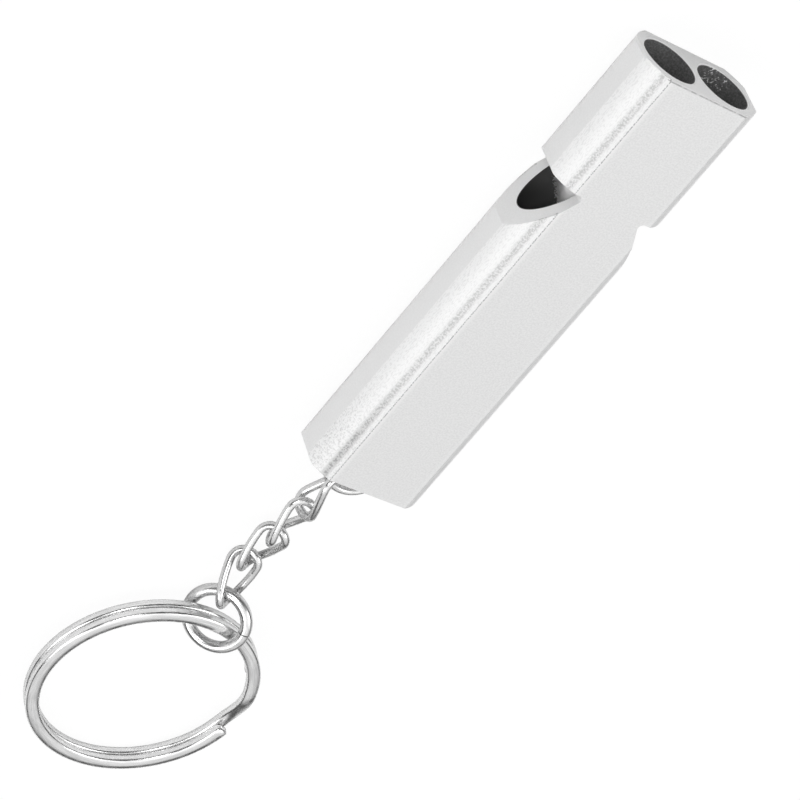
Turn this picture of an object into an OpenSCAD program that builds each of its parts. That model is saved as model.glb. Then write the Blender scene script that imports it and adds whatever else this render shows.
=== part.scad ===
// Two-tone survival whistle: a milled metal body with two side-by-side bores, a wire bail in its
// end wall, four twisted chain links, a jump ring and a two-turn split ring for keys.
//
// Millimetres. The body lies on its back wide face: X runs across it, Y along it towards the mouth,
// Z up. The origin is the middle of that resting face, and the chain and rings lie on the same table.

/* [Whistle body] */
// Length from the end face to the mouth face
body_l = 55; // [48:1:64]
// Diameter of each bore, from the mouth face to the window
bore_d = 6; // [5.4:0.1:6.4]
// Diameter of the chamber behind each window
chamber_d = 5.6; // [5:0.1:6]
// Web left between the two bores
bore_web = 0.8; // [0.6:0.1:1.2]
// Wall left round each bore at the shoulders
shoulder_wall = 1; // [0.9:0.05:1.2]
// How much of that wall each wide face takes off
wide_face_cut = 0.05; // [0.02:0.01:0.15]
// How much of that wall each narrow face takes off
narrow_face_cut = 0.25; // [0.15:0.05:0.4]
// Solid length between the end face and the bottom of the bores
end_wall = 6; // [5.6:0.2:9]
// Radius of the two corners at the end face
end_corner_r = 0.8; // [0.4:0.1:1.2]
// Bevel round the edges of the mouth face
mouth_edge = 0.2; // [0.1:0.05:0.3]

/* [Sound windows] */
// Distance from the mouth face to the steep face of each notch
window_from_mouth = 14.85; // [13:0.05:17]
// How far outside the bore's axis the bottom of the notch lies
notch_past_axis = 0.3; // [0:0.1:0.8]
// Angle of the long ramp against the body's axis
ramp_angle = 27; // [24:1:32]
// Radius where the steep face meets the narrow face
notch_corner_r = 0.45; // [0.3:0.05:1]
// Radius at the bottom of the notch
notch_root_r = 0.5; // [0.3:0.05:0.7]

/* [Windway plugs] */
// How far each plug's outer end lies below the mouth face
plug_recess = 5; // [4.4:0.2:7]
// Height of the air slot between a plug's flat and the bore wall
windway_h = 1; // [0.8:0.1:1.3]
// Gap between a plug and its bore
plug_fit = 0.02; // [0.01:0.01:0.04]

/* [End bail] */
// Diameter of the bail wire
bail_wire = 0.9; // [0.8:0.05:1]
// Radius of the bail's bend, at the middle of the wire
bail_r = 3.15; // [3:0.05:3.4]
// How far each leg reaches into the end wall
bail_leg = 4.5; // [3.6:0.1:5]
// Gap between a leg and its hole
bail_fit = 0.02; // [0.01:0.01:0.04]

/* [Chain links] */
// Diameter of the link wire
link_wire = 0.9; // [0.8:0.05:0.95]
// Half length of a link, at the middle of the wire
link_half_l = 3.3; // [3.1:0.05:3.5]
// Half width of a link, at the middle of the wire
link_half_w = 1.5; // [1.4:0.05:1.6]
// Twist of a link from one bend to the other
link_twist = 86; // [80:1:92]

/* [Jump ring] */
// Diameter of the jump ring's wire
jump_wire = 1.3; // [1.1:0.05:1.4]
// Diameter of the hole through the jump ring
jump_hole = 5.2; // [4.8:0.1:5.8]
// Gap where the jump ring's two ends meet
jump_butt = 0.12; // [0.05:0.01:0.2]

/* [Split ring] */
// Outer diameter of the split ring
split_d = 25; // [24:0.5:27]
// Width of its flattened wire, across the ring's face
split_wire_w = 1.5; // [1.3:0.05:1.6]
// Height of its flattened wire
split_wire_h = 1.05; // [0.9:0.05:1.1]
// Gap between its two turns
split_turn_gap = 0.05; // [0.03:0.01:0.1]

/* [Hidden] */
$fn = 96;

// Body: where its features lie along Y and across X
mouth_y = body_l/2;
end_y = -body_l/2;
bore_r = bore_d/2;
bore_x = bore_r + bore_web/2;
shoulder_r = bore_r + shoulder_wall;
body_t = 2*(shoulder_r - wide_face_cut);
body_w = 2*(bore_x + shoulder_r - narrow_face_cut);
mid_z = body_t/2;
steep_y = mouth_y - window_from_mouth;
overcut = 1;
bore_chamfer = 0.15;

// Notch: the round at its bottom touches the steep face and the ramp
root_centre = [bore_x + notch_past_axis + notch_root_r, steep_y - notch_root_r];
ramp_dir = [sin(ramp_angle), -cos(ramp_angle)];
ramp_start = root_centre - notch_root_r*[cos(ramp_angle), sin(ramp_angle)];
ramp_out_x = body_w/2 + overcut;
ramp_end = ramp_start + ramp_dir*(ramp_out_x - ramp_start[0])/ramp_dir[0];

// Bail: the place on its bend where the chain hangs
hook_angle = 29;
bail_hook = [-bail_r*sin(hook_angle), end_y - bail_r*cos(hook_angle), mid_z];
leg_hole_spare = 0.3;

// Chain at rest: how each link is turned about Z, then about X, then about its own length
link_turns = [[2, 13, -104], [-1, 8, 29], [2, 9, 5], [3, -16, 7]];
// Chain at rest: from the wire that a link hangs on to the top of its own bend, in wire diameters
link_seats = [[-0.03, 1.41, 0.6], [0.07, 1.53, 0.24], [0.29, 1.64, -0.16], [-0.39, 2.02, -0.31]];
link_rings = 48;
link_sides = 14;
link_straight = link_half_l - link_half_w;
link_path = 4*link_straight + 2*PI*link_half_w;

// Jump ring at rest: its middle is level with the last link's foot, and its low side is on the table
table_gap = 0.02;
jump_r = (jump_hole + jump_wire)/2;
jump_play = 0.2;
jump_heading = [0.34, -0.94];
jump_reach = (jump_hole - link_wire)/2 - jump_play;
jump_centre = link_foot(3) + jump_reach*unit(concat(jump_heading, 0));
jump_lean = asin((jump_centre[2] - jump_wire/2 - table_gap)/jump_r);
jump_butt_angle = 14;

// Split ring at rest: its far side is on the table, its near side is lifted by the jump ring.
// Its seat tells how its middle line lies from the jump ring's middle, in hole diameters.
split_r = (split_d - split_wire_w)/2;
split_lift = 3.6;
split_layer = split_wire_h + split_turn_gap;
split_seat = [-0.204, -0.073];
split_side = split_seat[0]*jump_hole;
split_near_y = split_seat[1]*jump_hole;
split_centre = [jump_centre[0] + split_side,
                jump_centre[1] + split_near_y - sqrt(pow(split_r, 2) - pow(split_side, 2)),
                (split_layer + split_wire_h)/2*cos(split_lift) + split_d/2*sin(split_lift) + table_gap];
split_upper_end = -8;
split_climb = 28;
split_lower_end = 32;
split_step = 4;
split_sides = 14;
split_squareness = 0.55;

// Turn a point as a link is turned: about its own length, then about X, then about Z
function turn_y(p, a) = [p[0]*cos(a) + p[2]*sin(a), p[1], p[2]*cos(a) - p[0]*sin(a)];
function turn_x(p, a) = [p[0], p[1]*cos(a) - p[2]*sin(a), p[1]*sin(a) + p[2]*cos(a)];
function turn_z(p, a) = [p[0]*cos(a) - p[1]*sin(a), p[0]*sin(a) + p[1]*cos(a), p[2]];
function turned(p, t) = turn_z(turn_x(turn_y(p, t[2]), t[1]), t[0]);
function unit(v) = v/norm(v);

// Each link hangs on the one before it, and the first hangs on the bail
function link_axis(i) = turned([0, 1, 0], link_turns[i]);
function link_top(i) = (i == 0 ? bail_hook : link_foot(i - 1)) + link_wire*link_seats[i];
function link_foot(i) = link_top(i) - 2*link_half_l*link_axis(i);
function link_centre(i) = link_top(i) - link_half_l*link_axis(i);

// Middle line of a flat link, u mm along it: side, top bend, side, bottom bend
function flat_side(u) = [link_half_w, u - link_straight];
function flat_bend(u) = let (a = u/link_half_w*180/PI)
    [link_half_w*cos(a), link_straight + link_half_w*sin(a)];
function flat_half(u) = u < 2*link_straight ? flat_side(u) : flat_bend(u - 2*link_straight);
function flat_link(u) = let (v = u % link_path)
    v < link_path/2 ? flat_half(v) : -flat_half(v - link_path/2);

// The same line twisted about the link's length, and the twist at a height
function twist_at(y) = -link_twist*y/(2*link_half_l);
function link_line(u) = let (p = flat_link(u)) turn_y([p[0], p[1], 0], twist_at(p[1]));

// Points round a wire at one place of its middle line
function wire_ring(p, out, up, half_w, half_h, sides, power) =
    [for (k = [0:sides - 1]) let (a = 360*(k + 0.5)/sides)
        p + out*half_w*sign(cos(a))*pow(abs(cos(a)), power)
          + up*half_h*sign(sin(a))*pow(abs(sin(a)), power)];

function link_ring(u) = let (
    small = 0.01,
    p = link_line(u),
    along = unit(link_line(u + small) - link_line(u + link_path - small)),
    up = turn_y([0, 0, 1], twist_at(p[1])),
    out = unit(cross(along, up)))
    wire_ring(p, out, cross(out, along), link_wire/2, link_wire/2, link_sides, 1);

// Split ring: the wire's height round its path, with one smooth climb from the lower turn to the upper
function smooth_step(t) = let (c = min(1, max(0, t))) c*c*(3 - 2*c);
split_climb_from = 360 + split_upper_end;
split_last = 720 + split_upper_end;
function split_height(a) = split_layer*(smooth_step((a - split_climb_from)/split_climb) - 0.5);

// The last ring of points at each end is smaller, so that the cut ends are rounded
split_end_round = 0.3;
split_end_degrees = split_end_round/split_r*180/PI;
split_angles = concat(
    [split_lower_end, split_lower_end + split_end_degrees],
    [for (a = [split_lower_end + split_step:split_step:split_last - split_step]) a],
    [split_last - split_end_degrees, split_last]);

function split_ring_points(a) = let (
    at_end = a == split_lower_end || a == split_last,
    k = at_end ? split_end_round : 0,
    out = [cos(a), sin(a), 0])
    wire_ring(split_r*out + [0, 0, split_height(a)], out, [0, 0, 1],
              split_wire_w/2 - k, split_wire_h/2 - k, split_sides, split_squareness);

// A solid through rings of points: closed on itself, or open with two flat ends
module swept(rings, closed) {
    n = len(rings);
    m = len(rings[0]);
    spans = closed ? n : n - 1;
    walls = [for (i = [0:spans - 1], j = [0:m - 1]) let (
        near = i*m,
        far = ((i + 1) % n)*m,
        next = (j + 1) % m)
        each [[near + j, near + next, far + next], [near + j, far + next, far + j]]];
    caps = closed ? [] : [[for (j = [m - 1:-1:0]) j], [for (j = [0:m - 1]) (n - 1)*m + j]];
    polyhedron([for (ring = rings, p = ring) p], concat(walls, caps));
}

// The body's section: two shoulder arcs about the bores, cut by the wide and the narrow flats
module body_section() {
    intersection() {
        square([body_w, body_t], center = true);
        union() {
            for (s = [-1, 1])
                translate([s*bore_x, 0]) circle(r = shoulder_r);
            square([2*bore_x, 2*shoulder_r], center = true);
        }
    }
}

// One notch, on the right-hand narrow face, seen from above
module notch_outline() {
    polygon([root_centre, ramp_start, ramp_end, [ramp_out_x, steep_y], [root_centre[0], steep_y]]);
    translate(root_centre) circle(r = notch_root_r);
    difference() {
        translate([body_w/2 - notch_corner_r, steep_y - notch_root_r])
            square([notch_corner_r + overcut, notch_corner_r + notch_root_r]);
        translate([body_w/2 - notch_corner_r, steep_y + notch_corner_r])
            circle(r = notch_corner_r);
    }
}

// The body seen from above, with its rounded end corners, bevelled mouth corners and two notches
module body_plan() {
    difference() {
        union() {
            polygon([[-body_w/2, end_y + end_corner_r], [body_w/2, end_y + end_corner_r],
                     [body_w/2, mouth_y - mouth_edge], [body_w/2 - mouth_edge, mouth_y],
                     [mouth_edge - body_w/2, mouth_y], [-body_w/2, mouth_y - mouth_edge]]);
            translate([end_corner_r - body_w/2, end_y])
                square([body_w - 2*end_corner_r, 2*end_corner_r]);
            for (s = [-1, 1])
                translate([s*(body_w/2 - end_corner_r), end_y + end_corner_r]) circle(r = end_corner_r);
        }
        notch_outline();
        mirror([1, 0]) notch_outline();
    }
}

// The body seen from the side, with a fine bevel where the wide faces meet the mouth face
module body_side() {
    polygon([[end_y, 0], [mouth_y - mouth_edge, 0], [mouth_y, mouth_edge],
             [mouth_y, body_t - mouth_edge], [mouth_y - mouth_edge, body_t], [end_y, body_t]]);
}

module along_body(x, from_y, to_y) {
    translate([x, from_y, mid_z]) rotate([-90, 0, 0]) linear_extrude(to_y - from_y) children();
}

// One bore, blind at the end wall: a narrower chamber, then the mouth part with its edge broken
module bore(x) {
    along_body(x, end_y + end_wall, mouth_y) circle(d = chamber_d);
    along_body(x, steep_y, mouth_y + overcut) circle(r = bore_r);
    translate([x, mouth_y - bore_chamfer, mid_z]) rotate([-90, 0, 0])
        cylinder(h = 2*bore_chamfer, r1 = bore_r, r2 = bore_r + 2*bore_chamfer);
}

module whistle_body() {
    color("gainsboro") difference() {
        intersection() {
            along_body(0, end_y, mouth_y) body_section();
            linear_extrude(body_t) body_plan();
            translate([-body_w/2, 0, 0]) rotate([90, 0, 90]) linear_extrude(body_w) body_side();
        }
        for (s = [-1, 1]) {
            bore(s*bore_x);
            along_body(s*bail_r, end_y - overcut, end_y + bail_leg + leg_hole_spare)
                circle(d = bail_wire + 2*bail_fit);
        }
    }
}

// A plug that seats on the step in its bore: the flat on its outer side leaves the air slot
module windway_plug(side) {
    color("silver") along_body(side*bore_x, steep_y + plug_fit, mouth_y - plug_recess) difference() {
        circle(r = bore_r - plug_fit);
        translate([side*(bore_d - windway_h), 0]) square([bore_d, bore_d + overcut], center = true);
    }
}

module end_bail() {
    color("darkgray") {
        translate([0, end_y, mid_z]) rotate([0, 0, 180]) rotate_extrude(angle = 180)
            translate([bail_r, 0]) circle(d = bail_wire);
        for (s = [-1, 1])
            along_body(s*bail_r, end_y, end_y + bail_leg) circle(d = bail_wire);
    }
}

module chain_link(i) {
    color("darkgray") translate(link_centre(i))
        rotate([0, 0, link_turns[i][0]]) rotate([link_turns[i][1], 0, 0]) rotate([0, link_turns[i][2], 0])
            swept([for (k = [0:link_rings - 1]) link_ring(link_path*k/link_rings)], true);
}

module jump_ring() {
    butt = jump_butt/jump_r*180/PI;
    color("silver") translate(jump_centre) rotate([0, -jump_lean, 0])
        rotate([0, 0, jump_butt_angle + butt/2]) rotate_extrude(angle = 360 - butt)
            translate([jump_r, 0]) circle(d = jump_wire);
}

module split_ring() {
    color("silver") translate(split_centre) rotate([split_lift, 0, 0])
        swept([for (a = split_angles) split_ring_points(a)], false);
}

whistle_body();
windway_plug(-1);  // windway_plug_left
windway_plug(1);  // windway_plug_right
end_bail();
chain_link(0);  // chain_link_1
chain_link(1);  // chain_link_2
chain_link(2);  // chain_link_3
chain_link(3);  // chain_link_4
jump_ring();
split_ring();
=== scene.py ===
"""Dresses the survival whistle: blasted body, plated bail, chain and rings, studio and camera."""

import math

import bmesh
import bpy
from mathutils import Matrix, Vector


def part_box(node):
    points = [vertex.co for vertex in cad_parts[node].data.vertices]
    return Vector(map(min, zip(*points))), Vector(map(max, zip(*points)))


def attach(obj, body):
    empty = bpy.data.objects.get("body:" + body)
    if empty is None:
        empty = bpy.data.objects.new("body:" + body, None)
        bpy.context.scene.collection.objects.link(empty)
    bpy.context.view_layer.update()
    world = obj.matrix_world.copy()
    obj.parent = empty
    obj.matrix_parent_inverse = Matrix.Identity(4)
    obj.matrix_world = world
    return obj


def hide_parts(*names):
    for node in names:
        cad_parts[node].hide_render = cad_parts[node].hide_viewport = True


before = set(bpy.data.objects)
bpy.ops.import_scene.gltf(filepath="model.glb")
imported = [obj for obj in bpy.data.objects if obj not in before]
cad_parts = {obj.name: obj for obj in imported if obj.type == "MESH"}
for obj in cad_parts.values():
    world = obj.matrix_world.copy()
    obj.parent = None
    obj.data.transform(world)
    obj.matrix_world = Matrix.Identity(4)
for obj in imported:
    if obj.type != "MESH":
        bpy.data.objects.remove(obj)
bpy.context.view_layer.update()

MM = 0.001

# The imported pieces' boxes, in metres in the row frame
body_low, body_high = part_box("whistle_body")
split_low, split_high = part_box("split_ring")
jump_low, jump_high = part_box("jump_ring")

# The body: its middle, its faces, its bores and the steep edge of its windows
MID_Z = (body_low[2] + body_high[2]) / 2
HALF_THICK = (body_high[2] - body_low[2]) / 2
HALF_WIDE = body_high[0]
MOUTH_Y = body_high[1]
CHAIN_END_Y = body_low[1]
STEEP_Y = MOUTH_Y - 14.85 * MM
BORE_BOTTOM_Y = CHAIN_END_Y + 6 * MM
MOUTH_BEVEL = 0.2 * MM
BORE_R = 3 * MM
CHAMBER_R = 2.8 * MM
BORE_X = 3.4 * MM

# The shoulders: the wide flats end at FLAT_EDGE_X, and the round is reached at SHOULDER_EASE_X
SHOULDER_R = 4 * MM
FLAT_EDGE_X = 4.79 * MM
SHOULDER_EASE_X = 6.4 * MM
SHOULDER_CUTS = [FLAT_EDGE_X, 5 * MM, 5.3 * MM, 5.6 * MM, 5.9 * MM, 6.15 * MM, SHOULDER_EASE_X,
                 6.6 * MM, 6.8 * MM, 7 * MM]

# How the rings lie: the jump ring leans sideways, the split ring is lifted at its near side
JUMP_LEAN = math.radians(37.9)
SPLIT_LIFT = math.radians(3.6)

# Merging a solid's loose triangles: points and slivers closer than these are one
MERGE_DISTANCE = 0.0005 * MM
SLIVER = 0.0002 * MM
# A face counts as flat when its normal lies this closely along an axis
FLAT_NORMAL = 0.99999
# A point lies on a shoulder when it is this near its round, and this far in from the narrow flat
ROUND_TOLERANCE = 0.03 * MM
NARROW_FLAT_GAP = 0.005 * MM
# Edges that turn by more degrees than these stay sharp
BODY_CREASE = 24
ROUND_WIRE_CREASE = 40
SPLIT_CREASE = 50
LINK_CREASE = 60

# Grey levels of the body: wide flats and their grain, painted highlights along the flats' rims and
# across the shoulders, bores and chambers darkened as painted shade, and the bright level of
# painted light and glints
FLAT_LEVEL = 0.74
GRAIN_SPREAD = 0.035
FLAT_RIM_HIGHLIGHT_LEVEL = 0.82
SHOULDER_HIGHLIGHT_LEVELS = (0.74, 0.87)
SHOULDER_HIGHLIGHT_X = (5.2 * MM, 6.9 * MM)
BORE_SHADE_LEVELS = (0.13, 0.22)
CHAMBER_SHADE_LEVEL = 0.1
PAINTED_LIGHT_LEVEL = 0.95

# Marks of their own grey, and painted highlights on the edge faces and on the bores' chamfers: how
# thickly each covers the metal, and its level
PITS = {"strength": 0.3, "level": 0.5}
EDGE_FACE_HIGHLIGHT = {"strength": 0.6, "level": 0.86}
DRAWN_LINES = {"strength": 0.2, "level": 0.4}
END_GRAIN = {"strength": 0.3, "level": 0.3}
FLAT_EDGE_DOTS = {"strength": 0.75, "level": 0.2}
MOUTH_RIM_LINE = {"strength": 0.6, "level": 0.25}
BORE_CHAMFER_HIGHLIGHT = {"strength": 0.6, "level": PAINTED_LIGHT_LEVEL}
BAND_X = 5.5 * MM
BAND_LEVEL = 0.3
BAND_STRENGTHS = (0.6, 0.95)
# The far shoulder, towards +X, has this share of the marks and of the painted highlight strip along
# the flat's rim that the one towards -X has
PLUS_X_SIDE_SHARE = 0.25

# Scales of the noises, in turns per metre, and how far the drawn lines are stretched along Y
GRAIN_SCALE = 5000.0
SPECK_SCALE = 5200.0
LINE_SCALE = 9000.0
CLOUD_SCALE = 1500.0
GLINT_SCALE = 3600.0
WIRE_CLOUD_SCALE = 700.0
LINE_STRETCH = 0.3

# Gloss of the blasted metal and of the painted patch of light opposite each window, and the relief
BLASTED_ROUGHNESS, LIT_PATCH_ROUGHNESS = 0.55, 0.36
BLASTED_METALLIC, LIT_PATCH_METALLIC = 0.4, 1.0
BLASTED_RELIEF = {"Strength": 0.25, "Distance": 0.02 * MM}

# The patch's end: how far it leans per metre across, its start below the steep edge, its speckle
PATCH_SLANT = -1.25
PATCH_FROM, PATCH_FULL = 7.3 * MM, 5 * MM
PATCH_SPECKLE = 1.2

# Windway plugs
PLUG_LEVELS = (0.16, 0.30)
PLUG_ROUGHNESS = 0.45

# Plated wires: the grey of each, how far its drawing lines depart from it, and its gloss
LINK_LEVEL = 0.7
BAIL_LEVEL = 0.72
JUMP_LEVEL = 0.69
SPLIT_LEVEL = 0.83
WIRE_LINE_SHARES = (0.85, 1.08)
WIRE_ROUGHNESS = (0.2, 0.34)
WIRE_RELIEF = {"Strength": 0.08, "Distance": 0.01 * MM}
# A step round a ring counts this much in its drawing lines, and a step across LINE_SCALE
LINE_STEPS_ROUND = 6.0

# The room: its walls, its ceiling, the light right overhead, the horizon, and the table
WALL_LEVEL = 0.07
CEILING_LEVEL = 0.85
OVERHEAD_LEVEL = 1.3
HORIZON_LEVEL = 0.5
TABLE_LEVEL = 0.82
# Heights, as sines of the angle above level, between which each of them sets in
CEILING_HEIGHTS = (0.75, 0.9)
OVERHEAD_HEIGHTS = (0.84, 0.94)
HORIZON_HEIGHT = 0.2
# Level direction from the camera towards the far side, where the ceiling comes lower down
FAR_DIRECTION = (0.783, -0.622, 0)
FAR_SIDE_FROM, FAR_SIDE_FULL = -0.1, 0.3
FAR_SIDE_DROP = 0.35
# The table that the camera sees is this share plain white, and the rest shows the shadow
TABLE_WHITE_SHARE = 0.92
TABLE_WHITE = 1.02
TABLE_HALF = 2

# Soft lamps, aimed at the middle of the body: name, place, size and power
SOFTBOXES = (
    ("left_softbox", (-0.5, -0.3, 0.6), 0.4, 2.0),
    ("right_softbox", (0.5, 0.4, 0.7), 0.5, 2.0),
    ("camera_softbox", (-0.45, 0.36, 0.62), 0.25, 1.5),
    ("low_softbox", (-0.8, -0.25, 0.33), 0.5, 0.8),
)

# Camera: above the left bore's side, rolled so that the mouth points to the picture's top right
CAMERA_PLACE = Vector((-207.24, 145.07, 267.79)) * MM
CAMERA_TURN = [math.radians(a) for a in (-43.069, -14.012, 37.028)]
CAMERA_LENS = 168.8
SENSOR_WIDTH = 36


# Node helpers
class Nodes:
    """Adds nodes to a tree and joins them: a value that is a socket is linked, any other is set."""

    def __init__(self, tree):
        self.tree = tree

    def add(self, kind, inputs=None, **settings):
        made = self.tree.nodes.new(kind)
        for name, value in settings.items():
            setattr(made, name, value)
        for key, value in (inputs or {}).items():
            self.put(made.inputs[key], value)
        return made

    def put(self, socket, value):
        if isinstance(value, bpy.types.NodeSocket):
            self.tree.links.new(value, socket)
        else:
            socket.default_value = value

    def maths(self, operation, *values):
        made = self.add("ShaderNodeMath", operation=operation)
        for socket, value in zip(made.inputs, values):
            self.put(socket, value)
        return made.outputs[0]

    def times(self, *values):
        product = values[0]
        for value in values[1:]:
            product = self.maths("MULTIPLY", product, value)
        return product

    def vector(self, operation, *values):
        made = self.add("ShaderNodeVectorMath", operation=operation)
        for socket, value in zip(made.inputs, values):
            self.put(socket, value)
        return made.outputs["Value" if operation in ("LENGTH", "DOT_PRODUCT") else "Vector"]

    def ramp(self, value, low, high, to_low=0.0, to_high=1.0):
        """value between low and high, smoothly brought to between to_low and to_high."""
        made = self.add("ShaderNodeMapRange", interpolation_type="SMOOTHSTEP")
        for name, number in (("Value", value), ("From Min", low), ("From Max", high),
                             ("To Min", to_low), ("To Max", to_high)):
            self.put(made.inputs[name], number)
        return made.outputs["Result"]

    def near(self, value, middle, half_width, soft):
        """1 where value is within half_width of middle, falling to 0 over soft."""
        away = self.maths("ABSOLUTE", self.maths("SUBTRACT", value, middle))
        return self.ramp(away, half_width, half_width + soft, 1.0, 0.0)

    def noise(self, place, scale, detail=2.0, w=None):
        made = self.add("ShaderNodeTexNoise", {"Vector": place, "Scale": scale, "Detail": detail},
                        noise_dimensions="3D" if w is None else "4D")
        if w is not None:
            self.put(made.inputs["W"], w)
        return made.outputs["Fac"]

    def mix(self, factor, first, second):
        made = self.add("ShaderNodeMix", data_type="RGBA")
        self.put(made.inputs["Factor"], factor)
        first_colour, second_colour = [s for s in made.inputs if s.type == "RGBA"]
        self.put(first_colour, first)
        self.put(second_colour, second)
        return [s for s in made.outputs if s.type == "RGBA"][0]

    def cover(self, colour, mask, strength, level):
        """colour with a grey laid over it where mask is 1, as thickly as strength says."""
        return self.mix(self.times(mask, strength), colour, grey(level))


def grey(level):
    return (level, level, level, 1)


def new_material(name):
    material = bpy.data.materials.new(name)
    material.use_nodes = True
    material.node_tree.nodes.clear()
    return material, Nodes(material.node_tree)


def new_group(name, inputs, outputs):
    """An empty shader node group. inputs and outputs are lists of (name, kind, default or None)."""
    tree = bpy.data.node_groups.new(name, "ShaderNodeTree")
    for direction, sockets in (("INPUT", inputs), ("OUTPUT", outputs)):
        for socket_name, kind, default in sockets:
            socket = tree.interface.new_socket(socket_name, in_out=direction,
                                               socket_type="NodeSocket" + kind)
            if default is not None:
                socket.default_value = default
    n = Nodes(tree)
    return tree, n, n.add("NodeGroupInput").outputs, n.add("NodeGroupOutput").inputs


def finish_metal(n, colour, roughness, normal=None, metallic=1.0):
    shader = n.add("ShaderNodeBsdfPrincipled", {"Base Color": colour, "Roughness": roughness,
                                                "Metallic": metallic})
    if normal is not None:
        n.put(shader.inputs["Normal"], normal)
    n.add("ShaderNodeOutputMaterial", {"Surface": shader.outputs[0]})


def place_of(n):
    return n.add("ShaderNodeTexCoord").outputs["Object"]


# Shared effects
def fine_grain_group():
    """The sand-like grain of a blasted surface: a height, and a mask of its small pits."""
    tree, n, given, out = new_group(
        "fine_grain", [("Place", "Vector", None), ("Size", "Float", GRAIN_SCALE)],
        [("Height", "Float", None), ("Pits", "Float", None)])
    fine = n.noise(given["Place"], given["Size"], 3.0)
    coarse = n.noise(given["Place"], n.times(given["Size"], 0.3), 2.0)
    n.put(out["Height"], n.maths("ADD", fine, n.times(coarse, 0.5)))
    n.put(out["Pits"], n.ramp(fine, 0.36, 0.26))
    return tree


def wire_streaks_group():
    """Fine drawing lines that run along a wire bent about an axis, such as a ring's."""
    tree, n, given, out = new_group(
        "wire_streaks",
        [("Place", "Vector", None), ("Centre", "Vector", None), ("Turn", "Vector", None)],
        [("Lines", "Float", None), ("Clouds", "Float", None)])
    local = n.vector("SUBTRACT", given["Place"], given["Centre"])
    turned = n.add("ShaderNodeVectorRotate", {"Vector": local, "Rotation": given["Turn"]},
                   rotation_type="EULER_XYZ", invert=True).outputs[0]
    parts = n.add("ShaderNodeSeparateXYZ", {0: turned}).outputs
    flat = n.add("ShaderNodeCombineXYZ", {0: parts["X"], 1: parts["Y"]}).outputs[0]
    radius = n.vector("LENGTH", flat)
    aim = n.add("ShaderNodeSeparateXYZ", {0: n.vector("NORMALIZE", flat)}).outputs
    along = n.add("ShaderNodeCombineXYZ", {
        0: n.times(aim["X"], LINE_STEPS_ROUND),
        1: n.times(aim["Y"], LINE_STEPS_ROUND),
        2: n.times(radius, LINE_SCALE)}).outputs[0]
    n.put(out["Lines"], n.noise(along, 1.0, 2.0, n.times(parts["Z"], LINE_SCALE)))
    n.put(out["Clouds"], n.noise(given["Place"], WIRE_CLOUD_SCALE, 3.0))
    return tree


FINE_GRAIN = fine_grain_group()
WIRE_STREAKS = wire_streaks_group()


# Materials
class BodyPlaces:
    """Masks that are each 1 on one part of the body, and the measures behind them."""

    def __init__(self, n, place):
        parts = n.add("ShaderNodeSeparateXYZ", {0: place}).outputs
        self.x, self.y = parts["X"], parts["Y"]
        across = n.maths("ABSOLUTE", self.x)
        self.across = across
        self.height = n.maths("SUBTRACT", parts["Z"], MID_Z)
        up = n.maths("ABSOLUTE", self.height)
        from_bore = n.vector("LENGTH", n.add("ShaderNodeCombineXYZ", {
            0: n.maths("SUBTRACT", across, BORE_X), 1: self.height}).outputs[0])

        # Bores, chambers below the windows, and the chamfer round each bore's mouth
        bore_limit = n.ramp(self.y, STEEP_Y - 0.02 * MM, STEEP_Y, CHAMBER_R, BORE_R)
        past_bore = n.maths("SUBTRACT", from_bore, bore_limit)
        past_end_wall = n.ramp(self.y, BORE_BOTTOM_Y - 0.3 * MM, BORE_BOTTOM_Y - 0.1 * MM)
        self.in_bore = n.times(n.ramp(past_bore, 0.04 * MM, 0.02 * MM), past_end_wall)
        self.in_chamber = n.ramp(self.y, STEEP_Y + 1 * MM, STEEP_Y - 1 * MM)
        at_mouth = n.ramp(self.y, MOUTH_Y - MOUTH_BEVEL, MOUTH_Y - 0.15 * MM)
        self.bore_chamfer = n.times(at_mouth, n.near(past_bore, 0.09 * MM, 0.05 * MM, 0.01 * MM))

        # Shoulders, the wide flats' rims beside them, and the faces that aren't wide flats
        self.outside = n.ramp(from_bore, SHOULDER_R - 0.06 * MM, SHOULDER_R - 0.03 * MM)
        past_flat = n.ramp(across, FLAT_EDGE_X, FLAT_EDGE_X + 0.04 * MM)
        before_narrow = n.ramp(across, HALF_WIDE - 0.003 * MM, HALF_WIDE - 0.012 * MM)
        self.on_shoulder = n.times(self.outside, past_flat, before_narrow)
        self.flat_rim = n.times(n.ramp(across, FLAT_EDGE_X - 0.6 * MM, FLAT_EDGE_X - 0.1 * MM),
                                n.ramp(across, FLAT_EDGE_X, FLAT_EDGE_X - 0.02 * MM))
        self.edge_face = n.ramp(up, HALF_THICK - 0.01 * MM, HALF_THICK - 0.03 * MM)
        # The line along the mouth's bevel, on the wide flats only
        self.rim_line = n.times(n.near(self.y, MOUTH_Y - 0.14 * MM, 0.03 * MM, 0.03 * MM),
                                n.ramp(up, 3.7 * MM, 3.75 * MM))

        # The shoulder towards -X carries the full marks and the painted highlight strip along the
        # flat's rim, and its marks are heavier towards the chain
        self.minus_x_side = n.ramp(self.x, 0.5 * MM, -0.5 * MM, PLUS_X_SIDE_SHARE, 1.0)
        self.to_chain = n.ramp(self.y, CHAIN_END_Y + 16 * MM, CHAIN_END_Y + 3 * MM)


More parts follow.
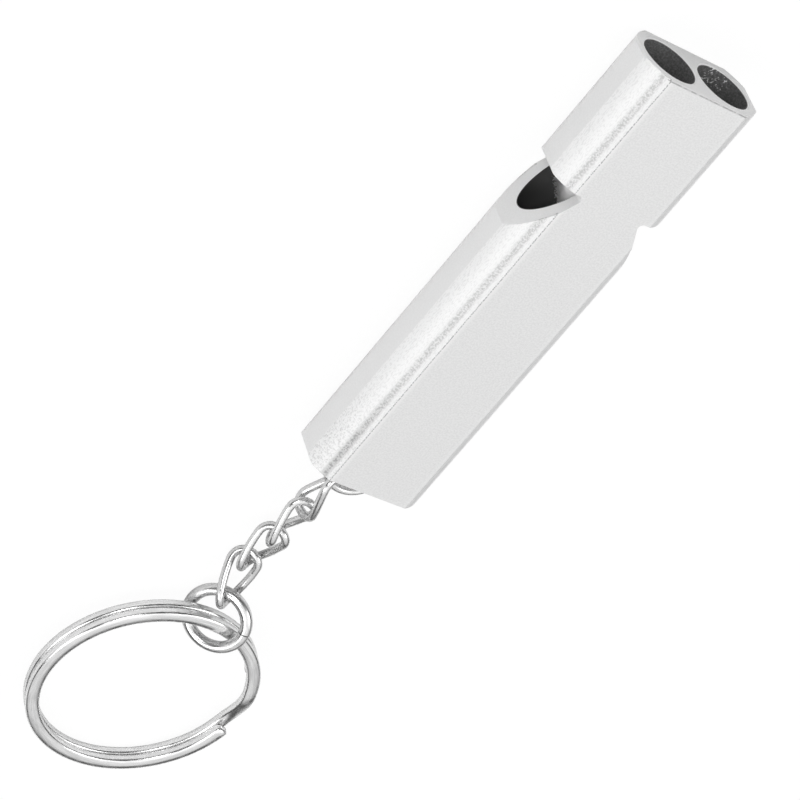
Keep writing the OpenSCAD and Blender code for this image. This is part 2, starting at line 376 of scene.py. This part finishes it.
def outer_colour(n, at, pits, specks, clouds, drawn_lines):
    """The body outside its bores: grained flats, and shoulders with a band, lines and dots, with
    painted highlights on the edge faces, along the flats' rims, across the shoulders and on the
    bores' chamfers.
    """
    band = n.times(n.near(at.across, BAND_X, 0.08 * MM, 0.35 * MM), at.on_shoulder,
                   n.ramp(specks, 0.38, 0.62, 0.25, 1.0), at.minus_x_side)
    dots = n.times(n.near(at.across, FLAT_EDGE_X, 0.03 * MM, 0.05 * MM), at.outside,
                   n.ramp(specks, 0.42, 0.56, 0.1, 1.0), at.minus_x_side)
    broken_rim = n.times(at.rim_line, n.ramp(clouds, 0.35, 0.6, 0.2, 1.0))
    lines = n.times(n.ramp(drawn_lines, 0.52, 0.36), at.on_shoulder, at.minus_x_side)
    end_grain = n.times(n.ramp(specks, 0.5, 0.36), at.to_chain, at.on_shoulder, at.minus_x_side)

    colour = n.mix(n.ramp(specks, 0.3, 0.7), grey(FLAT_LEVEL - GRAIN_SPREAD),
                   grey(FLAT_LEVEL + GRAIN_SPREAD))
    colour = n.cover(colour, pits, **PITS)
    # Painted highlight: the faces that aren't wide flats are laid lighter than the flats
    colour = n.cover(colour, at.edge_face, **EDGE_FACE_HIGHLIGHT)
    # Painted highlight: a lighter strip along the wide flats' rims, full towards -X
    colour = n.cover(colour, at.flat_rim, at.minus_x_side, FLAT_RIM_HIGHLIGHT_LEVEL)
    # Painted highlight: the shoulders grow lighter across their round towards the narrow flats
    level = n.ramp(at.across, *SHOULDER_HIGHLIGHT_X, *SHOULDER_HIGHLIGHT_LEVELS)
    shoulder_highlight = n.add("ShaderNodeCombineColor", {i: level for i in range(3)}).outputs[0]
    colour = n.mix(at.on_shoulder, colour, shoulder_highlight)
    colour = n.cover(colour, lines, **DRAWN_LINES)
    band_strength = n.ramp(at.to_chain, 0.0, 1.0, *BAND_STRENGTHS)
    colour = n.cover(colour, band, band_strength, BAND_LEVEL)
    colour = n.cover(colour, end_grain, **END_GRAIN)
    colour = n.cover(colour, dots, **FLAT_EDGE_DOTS)
    colour = n.cover(colour, broken_rim, **MOUTH_RIM_LINE)
    # Painted highlight on the chamfer round each bore's mouth
    return n.cover(colour, at.bore_chamfer, **BORE_CHAMFER_HIGHLIGHT)


def lit_patch(n, at, specks):
    """The painted pool of light, with a speckled edge, that lies in each chamber opposite its
    window.
    """
    slant = n.maths("ADD", at.y, n.times(at.across, PATCH_SLANT))
    patch = n.ramp(slant, STEEP_Y - PATCH_FROM, STEEP_Y - PATCH_FULL, -0.6, 0.4)
    speckled = n.ramp(n.maths("ADD", patch, n.times(specks, PATCH_SPECKLE)), 0.35, 0.65)
    return n.times(speckled, at.in_chamber, at.in_bore)


def bore_colour(n, at, place, specks, light_patch):
    """Bores darkened and chambers darkened further as painted shade, a painted pool of light in
    each chamber, and a few painted glints low in the right mouth.
    """
    # Where the painted glints go, low in the right mouth
    low_in_right_mouth = n.times(n.ramp(at.y, MOUTH_Y - 2.4 * MM, MOUTH_Y - 1.2 * MM),
                                 n.ramp(at.height, -1.9 * MM, -2.5 * MM),
                                 n.ramp(at.x, 2.4 * MM, 3.4 * MM))
    painted_glints = n.times(n.ramp(n.noise(place, GLINT_SCALE, 2.0), 0.6, 0.66), low_in_right_mouth)
    # Painted shade: dark bores, and chambers darker still
    darker, lighter = BORE_SHADE_LEVELS
    colour = n.mix(n.ramp(specks, 0.35, 0.7), grey(darker), grey(lighter))
    colour = n.mix(at.in_chamber, colour, grey(CHAMBER_SHADE_LEVEL))
    # Painted pool of light opposite each window
    colour = n.mix(light_patch, colour, grey(PAINTED_LIGHT_LEVEL))
    # Painted glints low in the right mouth
    return n.mix(painted_glints, colour, grey(PAINTED_LIGHT_LEVEL))


def blasted_body_material():
    material, n = new_material("blasted_body")
    place = place_of(n)
    at = BodyPlaces(n, place)
    grain = n.add("ShaderNodeGroup", node_tree=FINE_GRAIN)
    n.put(grain.inputs["Place"], place)
    stretched = n.add("ShaderNodeMapping",
                      {"Vector": place, "Scale": (1, LINE_STRETCH, 1)}).outputs[0]
    drawn_lines = n.noise(stretched, LINE_SCALE, 3.0)
    specks = n.noise(place, SPECK_SCALE, 2.0)
    clouds = n.noise(place, CLOUD_SCALE, 2.0)

    # The painted pool of light in each chamber, glossier than the blasted metal
    light_patch = lit_patch(n, at, specks)
    outer = outer_colour(n, at, grain.outputs["Pits"], specks, clouds, drawn_lines)
    colour = n.mix(at.in_bore, outer, bore_colour(n, at, place, specks, light_patch))

    # The lines' height is taken about its mean, so that it vanishes where the shoulder ends
    line_height = n.times(n.maths("SUBTRACT", drawn_lines, 0.5), at.on_shoulder)
    relief = n.maths("ADD", grain.outputs["Height"], line_height)
    bump = n.add("ShaderNodeBump", {"Height": relief, **BLASTED_RELIEF})
    roughness = n.ramp(light_patch, 0.0, 1.0, BLASTED_ROUGHNESS, LIT_PATCH_ROUGHNESS)
    metallic = n.ramp(light_patch, 0.0, 1.0, BLASTED_METALLIC, LIT_PATCH_METALLIC)
    finish_metal(n, colour, roughness, bump.outputs[0], metallic)
    return material


def turned_plug_material():
    material, n = new_material("turned_plug")
    cloud = n.noise(place_of(n), CLOUD_SCALE, 3.0)
    darker, lighter = PLUG_LEVELS
    finish_metal(n, n.mix(cloud, grey(darker), grey(lighter)), PLUG_ROUGHNESS)
    return material


def plated_wire_material(name, centre, turn, level):
    material, n = new_material(name)
    streaks = n.add("ShaderNodeGroup", node_tree=WIRE_STREAKS)
    n.put(streaks.inputs["Place"], place_of(n))
    n.put(streaks.inputs["Centre"], centre)
    n.put(streaks.inputs["Turn"], turn)
    lines = n.ramp(streaks.outputs["Lines"], 0.3, 0.7)
    darker, lighter = (grey(level * share) for share in WIRE_LINE_SHARES)
    bump = n.add("ShaderNodeBump", {"Height": lines, **WIRE_RELIEF})
    roughness = n.ramp(streaks.outputs["Clouds"], 0.35, 0.7, *WIRE_ROUGHNESS)
    finish_metal(n, n.mix(lines, darker, lighter), roughness, bump.outputs[0])
    return material


def middle(low, high):
    return (Vector(low) + Vector(high)) / 2


bail_centre = Vector((0, CHAIN_END_Y, MID_Z))
BODY_FINISH = blasted_body_material()
PLUG_FINISH = turned_plug_material()
LINK_FINISH = plated_wire_material("plated_links", bail_centre, (0, 0, 0), LINK_LEVEL)
BAIL_FINISH = plated_wire_material("plated_bail", bail_centre, (0, 0, 0), BAIL_LEVEL)
JUMP_FINISH = plated_wire_material("plated_jump_ring", middle(jump_low, jump_high),
                                   (0, -JUMP_LEAN, 0), JUMP_LEVEL)
SPLIT_FINISH = plated_wire_material("plated_split_ring", middle(split_low, split_high),
                                    (SPLIT_LIFT, 0, 0), SPLIT_LEVEL)


# Pieces: each is a merged copy of its solid, smoothed, with its real creases kept
def is_flat(face):
    return max(abs(c) for c in face.normal) > FLAT_NORMAL


def shoulder_height(across):
    """How far above the middle the shoulder lies: flat at first, then eased onto its round."""
    if across <= FLAT_EDGE_X:
        return HALF_THICK
    arc = math.sqrt(max(0, SHOULDER_R ** 2 - (across - BORE_X) ** 2))
    edge_arc = math.sqrt(SHOULDER_R ** 2 - (FLAT_EDGE_X - BORE_X) ** 2)
    t = min(1, (across - FLAT_EDGE_X) / (SHOULDER_EASE_X - FLAT_EDGE_X))
    return arc + (HALF_THICK - edge_arc) * (1 - t) ** 2


def shape_shoulders(bm):
    """Cuts the shoulders finer along the body and lays them on shoulder_height."""
    cuts = [((x, 0, 0), (1, 0, 0)) for across in SHOULDER_CUTS for x in (across, -across)]
    cuts.append(((0, MOUTH_Y - MOUTH_BEVEL, 0), (0, 1, 0)))
    for place, direction in cuts:
        bmesh.ops.bisect_plane(bm, geom=bm.verts[:] + bm.edges[:] + bm.faces[:], dist=SLIVER,
                               plane_co=place, plane_no=direction)
    for v in bm.verts:
        across, up = abs(v.co.x), abs(v.co.z - MID_Z)
        in_span = across > BORE_X and HALF_WIDE - across > NARROW_FLAT_GAP
        off_round = abs(math.hypot(across - BORE_X, up) - SHOULDER_R)
        if in_span and off_round < ROUND_TOLERANCE:
            past_bevel = max(0, v.co.y - (MOUTH_Y - MOUTH_BEVEL))
            height = min(shoulder_height(across), HALF_THICK - past_bevel)
            v.co.z = MID_Z + math.copysign(height, v.co.z - MID_Z)
    bmesh.ops.triangulate(bm, faces=bm.faces)


def dressed(node, name, body, material, crease_degrees, reshape=None):
    """Puts a finished copy of a solid in its place, sharp where it turns past crease_degrees."""
    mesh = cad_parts[node].data.copy()
    mesh.name = name
    bm = bmesh.new()
    bm.from_mesh(mesh)
    bmesh.ops.remove_doubles(bm, verts=bm.verts, dist=MERGE_DISTANCE)
    bmesh.ops.dissolve_degenerate(bm, edges=bm.edges, dist=SLIVER)
    if reshape:
        reshape(bm)
    bm.normal_update()
    for face in bm.faces:
        face.smooth = True
    for edge in bm.edges:
        if len(edge.link_faces) != 2:
            continue
        first, second = edge.link_faces
        sharp = edge.calc_face_angle(0) > math.radians(crease_degrees)
        if reshape and is_flat(first) != is_flat(second):
            sharp = True
        edge.smooth = not sharp
    bm.to_mesh(mesh)
    bm.free()
    mesh.materials.clear()
    mesh.materials.append(material)
    piece = bpy.data.objects.new(name, mesh)
    bpy.context.scene.collection.objects.link(piece)
    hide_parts(node)
    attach(piece, body)


dressed("whistle_body", "body_shell", "whistle", BODY_FINISH, BODY_CREASE,
        shape_shoulders)
for side in ("left", "right"):
    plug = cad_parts["windway_plug_" + side]
    plug.data.materials.clear()
    plug.data.materials.append(PLUG_FINISH)
dressed("end_bail", "bail_wire", "whistle", BAIL_FINISH, ROUND_WIRE_CREASE)
for i in (1, 2, 3, 4):
    dressed(f"chain_link_{i}", f"link_wire_{i}", f"link_{i}", LINK_FINISH,
            LINK_CREASE)
dressed("jump_ring", "jump_ring_wire", "jump", JUMP_FINISH, ROUND_WIRE_CREASE)
dressed("split_ring", "split_ring_wire", "split", SPLIT_FINISH, SPLIT_CREASE)


# Studio: a white table, a dim room under a bright ceiling, four soft lamps and the camera
def add_floor():
    bm = bmesh.new()
    bmesh.ops.create_grid(bm, x_segments=1, y_segments=1, size=TABLE_HALF)
    mesh = bpy.data.meshes.new("table_top")
    bm.to_mesh(mesh)
    bm.free()
    floor = bpy.data.objects.new("table_top", mesh)
    bpy.context.scene.collection.objects.link(floor)
    material, n = new_material("white_table")
    paper = n.add("ShaderNodeBsdfPrincipled", {"Base Color": grey(TABLE_LEVEL), "Roughness": 0.9,
                                               "Specular IOR Level": 0.0})
    glow = n.add("ShaderNodeEmission", {"Color": grey(1.0), "Strength": TABLE_WHITE})
    path = n.add("ShaderNodeLightPath").outputs
    seen = n.times(path["Is Camera Ray"], TABLE_WHITE_SHARE)
    both = n.add("ShaderNodeMixShader", {0: seen, 1: paper.outputs[0], 2: glow.outputs[0]})
    n.add("ShaderNodeOutputMaterial", {"Surface": both.outputs[0]})
    mesh.materials.append(material)


def add_world():
    world = bpy.data.worlds.new("studio")
    bpy.context.scene.world = world
    world.use_nodes = True
    world.node_tree.nodes.clear()
    n = Nodes(world.node_tree)
    direction = n.add("ShaderNodeTexCoord").outputs["Generated"]
    height = n.add("ShaderNodeSeparateXYZ", {0: direction}).outputs["Z"]
    far_side = n.ramp(n.vector("DOT_PRODUCT", direction, FAR_DIRECTION),
                      FAR_SIDE_FROM, FAR_SIDE_FULL)
    ceiling_height = n.maths("ADD", height, n.times(far_side, FAR_SIDE_DROP))
    ceiling = n.ramp(ceiling_height, *CEILING_HEIGHTS, WALL_LEVEL, CEILING_LEVEL)
    upper = n.ramp(height, *OVERHEAD_HEIGHTS, ceiling, OVERHEAD_LEVEL)
    room = n.maths("ADD", upper, n.ramp(height, HORIZON_HEIGHT, 0.0, 0.0, HORIZON_LEVEL))
    path = n.add("ShaderNodeLightPath").outputs
    level = n.mix(path["Is Camera Ray"], room, grey(1.0))
    sky = n.add("ShaderNodeBackground", {"Color": level, "Strength": 1.0})
    n.add("ShaderNodeOutputWorld", {"Surface": sky.outputs[0]})


def add_soft_lamp(name, place, size, power):
    data = bpy.data.lights.new(name, "AREA")
    data.shape = "SQUARE"
    data.size = size
    data.energy = power
    lamp = bpy.data.objects.new(name, data)
    lamp.location = place
    lamp.rotation_euler = (-Vector(place)).to_track_quat("-Z", "Y").to_euler()
    bpy.context.scene.collection.objects.link(lamp)


def add_camera():
    data = bpy.data.cameras.new("photo_camera")
    data.sensor_width = SENSOR_WIDTH
    data.lens = CAMERA_LENS
    data.clip_start = 10 * MM
    data.clip_end = 20
    camera = bpy.data.objects.new("photo_camera", data)
    camera.location = CAMERA_PLACE
    camera.rotation_euler = CAMERA_TURN
    bpy.context.scene.collection.objects.link(camera)
    bpy.context.scene.camera = camera


add_camera()
add_floor()
add_world()
for softbox in SOFTBOXES:
    add_soft_lamp(*softbox)
bpy.context.scene.view_settings.view_transform = "Standard"
